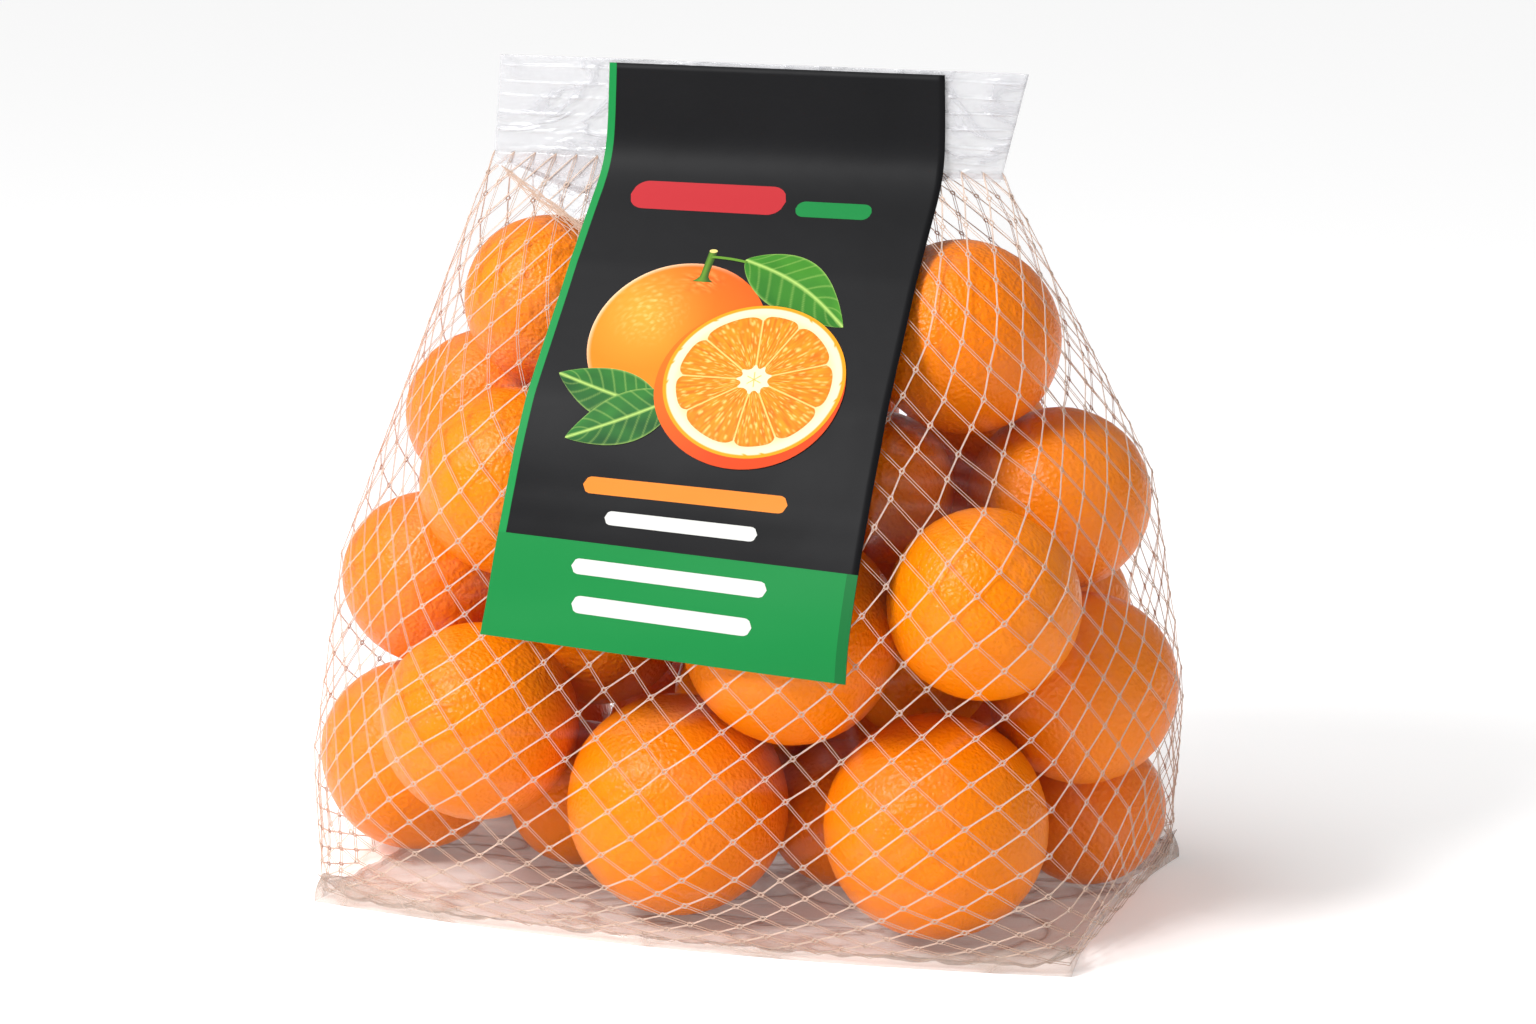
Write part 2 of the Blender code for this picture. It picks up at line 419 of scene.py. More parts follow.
def clear_film(name, tint, face_on, slanting, creased, crease_size):
    """Clear polyethylene film: see-through face on, greyer at a slant, with shiny milky creases. The extra
    opacity at a slant is a painted reflection, and the extra opacity of the tint along the creases is
    partly painted glint.
    """
    made, tree, shader = fresh_material(name)
    stretched = node(
        tree, "ShaderNodeVectorMath", {"operation": "MULTIPLY", 1: CREASE_STRETCH}, {0: object_coords(tree)}
    )
    broad = clouds(tree, stretched.outputs[0], 0.3 / crease_size, 3.0, 1.2)
    fold = node(tree, "ShaderNodeMath", {"operation": "SUBTRACT", 1: 0.5}, {0: broad})
    depth = node(tree, "ShaderNodeMath", {"operation": "ABSOLUTE"}, {0: fold.outputs[0]})
    ridge = remap(tree, depth.outputs[0], CREASE_HALF, 1.0, 0.0)
    facing = node(tree, "ShaderNodeLayerWeight", {"Blend": 0.3})
    # painted reflection: the film grows more opaque in its tint towards a slant, standing in for the film's
    # reflection there
    opacity_and_slant_reflection = remap(tree, facing.outputs["Facing"], 1.0, face_on, slanting)
    sharp = node(tree, "ShaderNodeMath", {"operation": "POWER", 1: 3.0}, {0: ridge})
    # painted glints: the creases add opacity in the tint, standing in for glints on crumpled film as well
    # as its milky creases
    streak = scaled_sum(tree, sharp.outputs[0], creased, opacity_and_slant_reflection, clamp=True)
    tree.links.new(streak, shader.inputs["Alpha"])
    values = {"Base Color": (*tint, 1), "Roughness": 0.14, "IOR": 1.5}
    finish_shader(tree, shader, values, relief=(ridge, 0.8, 0.7 * MM))
    return made


def printed_film(name, shade):
    """Printed matt film: ink with a little unevenness over a fine-grained sheet."""
    made, tree, shader = fresh_material(name)
    coords = object_coords(tree)
    dark = tuple(c * (1 - PRINT_VARIATION) for c in shade)
    light = tuple(min(1.0, c * (1 + PRINT_VARIATION)) for c in shade)
    base = ramp(tree, [(0.3, dark), (0.7, light)], clouds(tree, coords, 35.0, 4.0))
    grain = clouds(tree, coords, 1800.0, 2.0)
    height = scaled_sum(tree, grain, 0.06, clouds(tree, coords, 45.0, 2.0))
    finish_shader(tree, shader, PRINT_SHEEN, base, (height, 0.35, 0.8 * MM))
    return made


def printing_ink():
    """Printing ink: flat colour laid on the film, with the film's own soft sheen."""
    made, tree, shader = fresh_material("printing ink on film")
    ink = node(tree, "ShaderNodeAttribute", {"attribute_name": "ink"}).outputs["Color"]
    finish_shader(tree, shader, PRINT_SHEEN, ink)
    return made


# ---- fruit

class NETBAG_OT_fruit(bpy.types.Operator):
    """Make the oranges: slightly flattened, slightly lumpy fruit, each a little different"""

    bl_idname = "netbag.fruit"
    bl_label = "Oranges"

    def execute(self, context):
        settings = context.scene.net_bag.fruit
        draw = random.Random(7)
        bm = bmesh.new()
        tint = bm.verts.layers.float.new("tint")
        for centre, radius in zip(*FRUIT):
            ball = bmesh.ops.create_icosphere(bm, subdivisions=4, radius=1)["verts"]
            axis = Vector((draw.gauss(0, 1), draw.gauss(0, 1), draw.gauss(0, 1))).normalized()
            flatten = draw.uniform(0.0, 0.035)
            seed = Vector((draw.uniform(0, 90), draw.uniform(0, 90), draw.uniform(0, 90)))
            shade = draw.uniform(0.0, 0.35)
            for vert in ball:
                way = vert.co.normalized()
                along = way.dot(axis)
                swell = noise.noise(way * 1.3 + seed) * settings.lump
                reach = radius * (1 - flatten * along * along) + swell - settings.lump * 0.5
                vert.co = Vector(centre) + way * reach
                vert[tint] = shade
        made = new_piece("oranges", bm, waxed_peel(settings))
        place_in_bag(made, "filled_net", "filled_net")
        return {"FINISHED"}


# ---- net

def cross_sections(surface, heights, spokes):
    """Rings of equally spaced points round the taut surface, one ring for each height."""
    rings = []
    for height in heights:
        rough = []
        for turn in np.linspace(0, 2 * math.pi, 4 * spokes, endpoint=False):
            way = Vector((math.sin(turn), math.cos(turn), 0))
            start = Vector((0, 0, height)) + way
            hit = surface.ray_cast(start, -way)[0]
            rough.append(hit if hit else Vector((0, 0, height)))
        rough = np.array([p[:] for p in rough])
        closed = np.vstack([rough, rough[:1]])
        run = np.concatenate([[0], np.cumsum(np.linalg.norm(np.diff(closed, axis=0), axis=1))])
        even = np.linspace(0, run[-1], spokes, endpoint=False)
        rings.append(np.stack([np.interp(even, run, closed[:, k]) for k in range(3)], axis=1))
    return np.array(rings)


class BagSurface:
    """Places on the taut skin by share of the way round (0 is the middle of the back) and height."""

    SPOKES = 360

    def __init__(self, low, high):
        self.tree = net_tree()
        self.heights = np.linspace(low, high, 90)
        self.rings = cross_sections(self.tree, self.heights, self.SPOKES)
        wrapped = np.concatenate([self.rings, self.rings[:, :1]], axis=1)
        self.around = np.linalg.norm(np.diff(wrapped, axis=1), axis=2).sum(axis=1)

    def face_point(self, x, z, face):
        """The place on the skin straight in front (face -1) or behind (face 1) of x, z."""
        hit = self.tree.ray_cast(Vector((x, face, z)), Vector((0, -face, 0)))[0]
        return hit if hit else Vector((x, 0, z))

    def girth(self, height):
        return float(np.interp(height, self.heights, self.around))

    def point(self, share, height):
        """A point and the outward direction there."""
        level = np.interp(height, self.heights, np.arange(len(self.heights)))
        low = int(min(level, len(self.heights) - 2))
        spoke = (share % 1.0) * self.SPOKES
        first = int(spoke) % self.SPOKES
        second = (first + 1) % self.SPOKES
        f, g = spoke % 1, level - low
        lower = self.rings[low, first] * (1 - f) + self.rings[low, second] * f
        upper = self.rings[low + 1, first] * (1 - f) + self.rings[low + 1, second] * f
        rough = Vector(lower * (1 - g) + upper * g)
        near, normal, _, _ = self.tree.find_nearest(rough)
        return near, normal


NET_LOW = 2.5 * MM
SHOULDER = 150 * MM         # above this the bag slopes in, so a row climbs less
BUNCH_LEAST = 0.20          # height of a mesh at the base as a share of its height higher up
BUNCH_HEIGHT = 42 * MM      # over this height (from a share of nothing) it opens out
KNOT_RADIUS = 0.85 * MM
KNOT_PINCH = 0.9 * MM       # distance between the filaments of a pair at a knot
KNOT_STEPS = 7
GATHER_COUNT = 22           # bunched strands on each face
GATHER_STEPS = 16
NET_HIGH = HEADER_LOW.z + 0.5 * MM


def net_rows(surface, settings):
    """Heights of the rows of knots, closer together where the net bunches at the base."""
    heights = [NET_LOW]
    while heights[-1] < NET_HIGH:
        z = heights[-1]
        half = surface.girth(z) / settings.columns / 2
        step = math.sqrt(max(settings.cell ** 2 - half ** 2, (1.5 * MM) ** 2))
        bunch = min(1.0, BUNCH_LEAST + z / BUNCH_HEIGHT)
        slope = 0.93 if z < SHOULDER else 0.80
        heights.append(z + step * bunch * slope)
    scale = (NET_HIGH - NET_LOW) / (heights[-1] - NET_LOW)
    return [NET_LOW + (z - NET_LOW) * scale for z in heights]


def knot_grid(surface, settings):
    """Knots as rows of (point, normal), every other row set half a mesh along, gently uneven."""
    rows = []
    for r, z in enumerate(net_rows(surface, settings)):
        row = []
        fade = min(1.0, (z - NET_LOW) / (20 * MM), (NET_HIGH - z) / (20 * MM))
        for c in range(settings.columns):
            share = (c + 0.5 * (r % 2)) / settings.columns
            sine, cosine = math.sin(share * 2 * math.pi), math.cos(share * 2 * math.pi)
            sway = rough(sine * 2, cosine * 2, z * 14)
            heave = rough(sine * 2.5, 7 + cosine * 2.5, z * 10)
            jitter = rough(c * 3.1, r * 2.7, 4.0)
            share += fade * (0.22 * sway + 0.06 * jitter) / settings.columns
            row.append(surface.point(share, z + fade * (5.0 * heave + 0.5 * jitter) * MM))
        rows.append(row)
    return rows


def strand_path(rows, start, lean, count):
    """The knots one diagonal strand passes, from the base up; lean is +1 or -1."""
    path = []
    column = start
    for r, row in enumerate(rows):
        path.append(row[column % count])
        step_odd = r % 2 == 1
        if lean > 0 and step_odd:
            column += 1
        if lean < 0 and not step_odd:
            column -= 1
    return path


def twin_points(path, side, gap):
    """One filament of a pair: pinched together at the knots, bowed apart between them."""
    points = []
    for (a, na), (b, nb) in zip(path, path[1:]):
        along = b - a
        if along.length < 1e-6:
            continue
        for share, spread in ((0.0, KNOT_PINCH), (0.2, gap * 0.9), (0.5, gap), (0.8, gap * 0.9)):
            normal = na.lerp(nb, share).normalized()
            across = along.cross(normal).normalized()
            points.append(a.lerp(b, share) + across * side * spread / 2 + normal * 0.15 * MM)
    points.append(path[-1][0])
    return points


def filament_curve(name, settings):
    """An empty curve that gives what is laid on it the thickness of a filament."""
    line = bpy.data.curves.new(name, "CURVE")
    line.dimensions = "3D"
    line.bevel_depth = settings.filament / 2
    line.bevel_resolution = 0
    line.use_fill_caps = True
    return line


def lay_strand(line, points):
    spline = line.splines.new("POLY")
    spline.points.add(len(points) - 1)
    spline.points.foreach_set("co", [value for p in points for value in (*p, 1.0)])


def strand_piece(line, finish):
    """Turn a curve with a round bevel into a piece of the net."""
    holder = bpy.data.objects.new(line.name + "_line", line)
    bpy.context.scene.collection.objects.link(holder)
    bpy.context.view_layer.update()
    graph = bpy.context.evaluated_depsgraph_get()
    shaped = bpy.data.meshes.new_from_object(holder.evaluated_get(graph))
    bpy.data.objects.remove(holder)
    bm = bmesh.new()
    bm.from_mesh(shaped)
    bpy.data.meshes.remove(shaped)
    place_in_bag(new_piece(line.name, bm, finish), "filled_net")


class NETBAG_OT_net(bpy.types.Operator):
    """Knit the net: twin filaments running both ways round the bag, locked at small ring knots"""

    bl_idname = "netbag.net"
    bl_label = "Net"

    def execute(self, context):
        settings = context.scene.net_bag.net
        tight = knitted_filament("drawn polyethylene filament", settings.shade, 0.62)
        loose = knitted_filament("loose polyethylene filament", settings.shade_open, 0.60)
        surface = BagSurface(NET_LOW, NET_HIGH)
        rows = knot_grid(surface, settings)
        for name, lean, gap, finish in (
            ("net_strands_rising", -1, 0.4, tight), ("net_strands_falling", 1, 1.2, loose),
        ):
            line = filament_curve(name, settings)
            for start in range(settings.columns):
                path = strand_path(rows, start, lean, settings.columns)
                for side in (-1, 1):
                    lay_strand(line, twin_points(path, side, settings.twin_gap * gap))
            strand_piece(line, finish)
        self.knots(rows, settings, tight)
        self.gathers(surface, settings, loose)
        return {"FINISHED"}

    @staticmethod
    def gathers(surface, settings, finish):
        """The loose strands bunched along the slanting foot of the header film, in front and behind."""
        draw = random.Random(11)
        line = filament_curve("net_gathers", settings)
        for face in (-1, 1):
            for _ in range(GATHER_COUNT):
                start = -0.98 + draw.uniform(0, 0.25)
                end = start + draw.uniform(0.25, 0.6)
                slack = draw.uniform(-2, 3) * MM
                phase = draw.uniform(0, 9)
                points = []
                for share in np.linspace(0, 1, GATHER_STEPS):
                    u = start + (end - start) * share
                    wave = math.sin(phase + share * 9) * 0.8 * MM
                    z = HEADER_LOW.z - skirt_depth(u) - slack * share + wave - 2 * MM * share * share
                    x = HEADER_LEAN_LOW + u * HEADER_HIGH.x * 0.96
                    spot = surface.face_point(x, min(z, NET_HIGH), face)
                    points.append(spot + Vector((0, face, 0)) * 0.4 * MM)
                lay_strand(line, points)
        strand_piece(line, finish)

    @staticmethod
    def knots(rows, settings, finish):
        """A small pulled-tight loop at every crossing."""
        ring = bmesh.new()
        upright = Matrix.Translation((KNOT_RADIUS, 0, 0)) @ Matrix.Rotation(math.pi / 2, 4, "X")
        section = bmesh.ops.create_circle(ring, segments=3, radius=settings.filament * 0.8, matrix=upright)
        bmesh.ops.spin(
            ring, geom=section["verts"] + list(ring.edges), cent=(0, 0, 0), axis=(0, 0, 1),
            angle=2 * math.pi, steps=KNOT_STEPS, use_merge=True,
        )
        bmesh.ops.recalc_face_normals(ring, faces=ring.faces)
        loop = bpy.data.meshes.new("knot_loop")
        ring.to_mesh(loop)
        ring.free()
        bm = bmesh.new()
        for row in rows[1:-1]:
            for spot, normal in row:
                first = len(bm.verts)
                bm.from_mesh(loop)
                bm.verts.ensure_lookup_table()
                turn = normal.to_track_quat("Z", "Y").to_matrix().to_4x4()
                place = Matrix.Translation(spot + normal * 0.2 * MM) @ turn
                bmesh.ops.transform(bm, matrix=place, verts=bm.verts[first:])
        bpy.data.meshes.remove(loop)
        made = new_piece("net_knots", bm, finish)
        place_in_bag(made, "filled_net")


# ---- film

FIN_LOW = 2.4 * MM          # the base film's welded fin: height between corners
FIN_HIGH = 9.5 * MM         # and at the corners
BASE_LIFT = 0.15 * MM       # how far the base film stays off the floor
FIN_REACH = (0.30, 0.16)    # the corners' share of a long and of a short side of the fin
WELD_HEIGHT = 0.55 * MM     # how far a weld line of the header stands proud
WELD_SPREAD = 0.07          # its half width as a share of the weld lines' spacing
BAND_GAP = 0.35 * MM        # half the distance between the header's front and back
SKIRT_SLOPE = 0.95          # how far the skirt comes out for each measure that it hangs down


def crease(spot, scale, amount):
    """A sharp-ridged ripple, for crumpled film."""
    value = noise.noise(spot / scale)
    return (1 - 2 * abs(value)) * amount


class NETBAG_OT_inner_film(bpy.types.Operator):
    """Make the clear film lining inside the net, creased where it spans between fruit"""

    bl_idname = "netbag.inner_film"
    bl_label = "Inner film"

    def execute(self, context):
        tint = context.scene.net_bag.film.band
        bm = skin(LINING_STAND_OFF)
        bmesh.ops.triangulate(bm, faces=bm.faces)
        for _ in range(3):
            long_edges = [e for e in bm.edges if e.calc_length() > 8 * MM]
            bmesh.ops.subdivide_edges(bm, edges=long_edges, cuts=1)
            bmesh.ops.triangulate(bm, faces=bm.faces)
        low = [f for f in bm.faces if f.calc_center_median().z < 2 * MM]
        bmesh.ops.delete(bm, geom=low, context="FACES")
        # the slant and crease opacities (0.06, 0.03) are painted reflection and painted glints
        made = new_piece("inner_film", bm, clear_film("clear lining film", tint, 0.0, 0.06, 0.03, 16 * MM))
        place_in_bag(made, "filled_net")
        return {"FINISHED"}


class NETBAG_OT_header(bpy.types.Operator):
    """Make the welded header band with its ribs, creases and the skirt of film below it"""

    bl_idname = "netbag.header"
    bl_label = "Header film"

    def execute(self, context):
        settings = context.scene.net_bag.film
        height = HEADER_HIGH.z - HEADER_LOW.z
        # the slant and crease opacities (0.50, 0.24) are painted reflection and painted glints
        finish = clear_film("welded header film", settings.band, 0.17, 0.50, 0.24, 9 * MM)
        for face, name in ((-1, "header_front"), (1, "header_back")):
            bm = flat_grid(130, 150)
            for vert in bm.verts:
                u, v = vert.co.x, (vert.co.y + 1) / 2
                skirt = skirt_depth(u)
                z = HEADER_LOW.z - skirt + (height + skirt) * v
                band = min(1.0, max(0.0, (z - HEADER_LOW.z) / height))
                half = HEADER_HALF_LOW + (HEADER_HIGH.x - HEADER_HALF_LOW) * band
                x = u * half + HEADER_LEAN_LOW + (HEADER_LEAN_HIGH - HEADER_LEAN_LOW) * band
                spread = max(0.0, HEADER_LOW.z - z)
                wander = 0.05 * rough(u * 2, 0, band * 3)
                seam = ((band + wander) * settings.ribs) % 1 - 0.5
                rib = WELD_HEIGHT * math.exp(-(seam / WELD_SPREAD) ** 2) if z > HEADER_LOW.z else 0.0
                spot = Vector((x * 0.35, face * 0.02, z * 1.4))
                ripple = crease(spot, 11 * MM, 0.35 * MM) + crease(spot * 2.3, 9 * MM, 0.16 * MM)
                edge = min(1.0, (1 - abs(u)) * 30)
                y = face * (BAND_GAP + edge * max(0.0, rib + ripple) + spread * SKIRT_SLOPE)
                vert.co = Vector((x, y, z))
            made = new_piece(name, bm, finish)
            thicken(made, 0.08 * MM)
            place_in_bag(made, "header_film", "header_film")
        return {"FINISHED"}


class NETBAG_OT_base_film(bpy.types.Operator):
    """Make the wrinkled film the fruit stands on, with its welded rim and turned-up corners"""

    bl_idname = "netbag.base_film"
    bl_label = "Base film"

    def execute(self, context):
        tint = context.scene.net_bag.film.base
        # painted shade and orange reflection in the tint; the slant and crease opacities (0.42, 0.30) are
        # painted reflection and painted glints
        finish = clear_film("clear base film", tint, 0.13, 0.42, 0.30, 12 * MM)
        half_x = BASE_HIGH.x
        half_y = half_x * BASE_SHAPE
        bulge = BASE_HIGH.y - half_y
        bm = flat_grid(180, 110)
        for vert in bm.verts:
            u, w = vert.co.x, vert.co.y
            x = u * (half_x - BASE_TUCK * (1 - w * w))
            y = w * (half_y + bulge * (1 - u * u))
            rim = max(abs(u), abs(w))
            corner = math.hypot(half_x - abs(x), half_y - abs(y))
            lift = 6 * MM * max(0.0, 1 - corner / (14 * MM)) ** 1.5
            lift += 2.5 * MM * max(0.0, (rim - 0.93) / 0.07) ** 1.5
            spot = Vector((x, y, 0.013))
            free = min(1.0, max(0.0, (rim - 0.55) / 0.3))
            fold = max(0.0, crease(spot, 13 * MM, 1.3 * MM) + crease(spot * 2.1, 12 * MM, 0.5 * MM)) * free
            vert.co = Vector((x, y, BASE_LIFT + lift + fold * 0.8))
        self.film_piece("base_film_sheet", bm, finish)
        self.seal_fin(finish)
        return {"FINISHED"}

    @staticmethod
    def film_piece(name, bm, finish):
        made = new_piece(name, bm, finish)
        thicken(made, 0.1 * MM, 1)
        place_in_bag(made, "base_film", "base_film")

    def seal_fin(self, finish):
        """The welded fin standing round the rim, tallest at the corners, leaning in against the net."""
        bm = flat_grid(480, 14)
        for vert in bm.verts:
            turn = (vert.co.x + 1) * 2 % 4
            up = (vert.co.y + 1) / 2
            to_corner = abs((turn + 0.5) % 1 - 0.5)
            reach = FIN_REACH[int(turn) % 2]
            tall = FIN_LOW + (FIN_HIGH - FIN_LOW) * max(0.0, 1 - to_corner / reach) ** 1.2
            spot = rim_spot(turn)
            ripple = crease(Vector((spot.x, spot.y, up * tall * 0.6)), 12 * MM, 0.7 * MM) * (0.4 + 0.6 * up)
            inward = -Vector((spot.x, spot.y, 0)).normalized()
            lean = inward * (0.35 * tall * up * up - ripple * 0.5)
            vert.co = spot * 1.004 + lean + Vector((0, 0, BASE_LIFT + tall * up))
        bmesh.ops.remove_doubles(bm, verts=bm.verts, dist=0.01 * MM)
        self.film_piece("base_film_fin", bm, finish)


# ---- label

LABEL_TOP = 270 * MM
LABEL_LENGTH = 200 * MM
LABEL_FLARE = 0.045         # share by which it widens towards the foot and narrows towards the top
LABEL_MIDDLE = 8 * MM
LABEL_DRIFT = -10 * MM      # how far its foot lies to the left of its top
LABEL_SWEEP = 1.6           # how late down the label that drift comes
LABEL_SKEW = 2.5 * MM       # how much further its right edge hangs down than its middle
LABEL_STAND_OFF = 2.0 * MM  # how far the label lies in front of the header band's middle
LABEL_CLEARANCE = 0.9 * MM  # and in front of the net
LABEL_STRAIGHT = 0.3        # share of the header band over which it stays flat
LABEL_SOFTNESS = 20         # how widely its bends are rounded, in steps of its profile
PROFILE_STEP = 3 * MM       # height between the measures of the net under the label
PROFILE_LOWEST = 60 * MM
PROFILE_COLUMNS = 23
PROFILE_POINTS = 240
BAND_TOP = 166.5            # where the green band starts, in mm down the label
HEM_WIDTH = 3.5             # the folded hem down the right edge, in mm
INK_STEP = 0.05 * MM        # how far each printed layer lies over the one below


PRINT_COLOURS = dict(
    peel="#F27C10", peel_shade="#C83E0A", lit="#F79A30", glint="#FFC978", pith="#EBD8B4",
    zest="#E0930E", juice="#F28E14", juice_deep="#E06A06", membrane="#F2BE66", stem="#5E8A2A",
    stem_shade="#2E4A14", cut_wood="#D9C77A", vein="#A9C968", leaf="#26691A", leaf_lit="#418624",
    deep_leaf="#164A1E", deep_leaf_lit="#2E752A", white="#CFCFCB", red="#B02A30", amber="#DA7F2C",
)
INK = SimpleNamespace(**{name: colour(code) for name, code in PRINT_COLOURS.items()})


def run_lengths(*rows):
    """How far along a line each of its points lies, from rows of coordinates."""
    steps = np.sqrt(sum(np.diff(row) ** 2 for row in rows))
    return np.concatenate([[0], np.cumsum(steps)])


class LabelSheet:
    """Carries flat label places (across from its middle, down from its top) onto the folded sheet."""

    def __init__(self, width):
        tree = net_tree()
        self.half = width / 2
        self.band = LABEL_TOP - HEADER_LOW.z
        off_middle = np.linspace(LABEL_DRIFT - self.half, self.half, PROFILE_COLUMNS)
        rows = [(LABEL_TOP, -LABEL_STAND_OFF, 0.0), (HEADER_LOW.z, -LABEL_STAND_OFF, 0.0)]
        for z in np.arange(HEADER_LOW.z - PROFILE_STEP, PROFILE_LOWEST, -PROFILE_STEP):
            starts = [Vector((LABEL_MIDDLE + across, -1, z)) for across in off_middle]
            hits = [tree.ray_cast(start, Vector((0, 1, 0)))[0] for start in starts]
            fronts = np.array([hit.y if hit else 0.0 for hit in hits])
            slope = np.polyfit(off_middle, fronts, 1)[0]
            rows.append((z, np.min(fronts - slope * off_middle) - LABEL_CLEARANCE, slope))
        rows = np.array(rows).T
        run = run_lengths(rows[0], rows[1])
        even = np.linspace(0, run[-1], PROFILE_POINTS)
        z, y, slope = (np.interp(even, run, row) for row in rows)
        kernel = np.hanning(2 * LABEL_SOFTNESS + 1)
        kernel /= kernel.sum()
        smooth_z, smooth_y, self.slope = (
            np.convolve(np.pad(row, LABEL_SOFTNESS, mode="edge"), kernel, "valid") for row in (z, y, slope)
        )
        smooth_y = np.minimum(smooth_y, np.interp(-smooth_z, -z, y))
        held = even < self.band * LABEL_STRAIGHT
        self.z = np.where(held, z, smooth_z)
        self.y = np.where(held, y, smooth_y)
        self.run = run_lengths(self.z, self.y)

    def profile(self, along):
        """The sheet's y, z and sideways slope, a run down it."""
        return (float(np.interp(along, self.run, row)) for row in (self.y, self.z, self.slope))

    def place(self, across, down, rise=0.0):
        share = down / LABEL_LENGTH
        below = max(0.0, down - self.band) / (LABEL_LENGTH - self.band)
        along = down + LABEL_SKEW * across / self.half * below
        flare = 1 + LABEL_FLARE * (2 * share - 1)
        off_middle = across * flare + LABEL_DRIFT * max(0.0, share) ** LABEL_SWEEP
        y, z, slope = self.profile(along)
        ahead_y, ahead_z, _ = self.profile(along + MM)
        out = Vector((0, ahead_z - z, y - ahead_y)).normalized()
        soft = noise.noise(Vector((across, down, 0)) / (26 * MM)) * 0.6 * MM * below
        return Vector((LABEL_MIDDLE + off_middle, y + off_middle * slope, z)) + out * (rise + soft)


def mix(first, second, share):
    share = min(1.0, max(0.0, share))
    return tuple(a + (b - a) * share for a, b in zip(first, second))


def on_oval(centre, half, turn, reach):
    """Across and down of a place in an oval, from its angle and its share of the radius."""
    return centre[0] + half[0] * reach * math.cos(turn), centre[1] - half[1] * reach * math.sin(turn)


class Print:
    """Lays coloured shapes on the sheet; a shape turns u and v, 0 to 1, into mm across, down and colour."""

    def __init__(self, sheet):
        self.sheet = sheet
        self.bm = bmesh.new()
        self.ink = self.bm.verts.layers.float_color.new("ink")

    def lay(self, layer, columns, rows, shape):
        grid = bmesh.ops.create_grid(self.bm, x_segments=columns, y_segments=rows, size=1)["verts"]
        for vert in grid:
            across, down, shade = shape((vert.co.x + 1) / 2, (vert.co.y + 1) / 2)
            vert.co = self.sheet.place(across * MM, down * MM, layer * INK_STEP)
            vert[self.ink] = (*shade, 1)
        bmesh.ops.remove_doubles(self.bm, verts=grid, dist=0.002 * MM)

    def field(self, layer, left, right, top, bottom, shade):
        """A plain rectangle."""
        columns = max(2, int((right - left) / 3))
        rows = max(2, int((bottom - top) / 2))

        def shape(u, v):
            return left + (right - left) * u, top + (bottom - top) * v, shade
        self.lay(layer, columns, rows, shape)

    def bar(self, layer, left, right, middle, height, shade):
        """A plain bar with round ends."""
        half = height / 2

        def shape(u, v):
            across = left + (right - left) * u
            inside = min(across - left, right - across)
            cap = math.sqrt(max(0.0, half ** 2 - max(0.0, half - inside) ** 2))
            return across, middle + cap * (2 * v - 1), shade
        self.lay(layer, 60, 4, shape)

    def disc(self, layer, centre, half, shade, spokes=72, rings=24):
        """A filled oval; shade takes the angle and the share of the radius."""
        def shape(u, v):
            turn = u * 2 * math.pi
            return *on_oval(centre, half, turn, v), shade(turn, v)
        self.lay(layer, spokes, rings, shape)


STEM_FOOT = (-12, 76)
STEM_TOP = (-11.2, 64.5)
DIMPLE = 9                  # radius of the dimple round the stem, in mm


def whole_fruit(art):
    """The pictured whole orange: lit from the upper left, redder low on the right, dimpled at the stem."""
    centre, half = (-15, 97), (29.5, 27.5)
    glow = (-27, 87)

    def shade(turn, reach):
        x, y = on_oval(centre, half, turn, reach)
        away = math.hypot(x - glow[0], y - glow[1])
        tone = mix(INK.lit, INK.peel, away / 22)
        tone = mix(tone, INK.peel_shade, (x - y + 118) / 60 * 0.9)
        pebble = noise.noise(Vector((x, y, 0)) * 0.9)
        tone = mix(tone, INK.glint, max(0.0, 1 - away / 14) * max(0.0, pebble) * 1.3)
        right, below = x - STEM_FOOT[0], y - STEM_FOOT[1]
        stem_away = math.hypot(right, below * 1.8)
        if stem_away < DIMPLE:
            spoke = rough(math.atan2(below, right) * 6, stem_away * 0.2, 3)
            tone = mix(tone, INK.glint, max(0.0, spoke) * (1 - stem_away / DIMPLE))
            tone = mix(tone, INK.peel_shade, max(0.0, -spoke) * (1 - stem_away / DIMPLE) * 1.5)
        rim = max(0.0, (reach - 0.955) / 0.045) * max(0.0, math.cos(turn - 2.5))
        return mix(tone, INK.pith, rim * 0.8)
    art.disc(1, centre, half, shade, 110, 60)


def stem(art):
    """The woody stem in the dimple and the short twig to its leaf."""
    def stalk(u, v):
        width = 1.35 + 2.2 * max(0.0, 1 - v * 4.5) ** 2
        across = STEM_FOOT[0] + (STEM_TOP[0] - STEM_FOOT[0]) * v + width * (2 * u - 1)
        down = STEM_FOOT[1] + (STEM_TOP[1] - STEM_FOOT[1]) * v
        return across, down, mix(INK.stem_shade, INK.stem, 1 - abs(2 * u - 0.7))
    art.lay(2, 6, 12, stalk)

    def twig(u, v):
        across = STEM_TOP[0] + 12.5 * u
        return across, STEM_TOP[1] + 2.2 + 1.2 * u * u + 0.45 * (2 * v - 1), INK.stem
    art.lay(3, 8, 2, twig)
    art.disc(3, STEM_TOP, (1.4, 0.7), lambda turn, reach: INK.cut_wood, 16, 3)


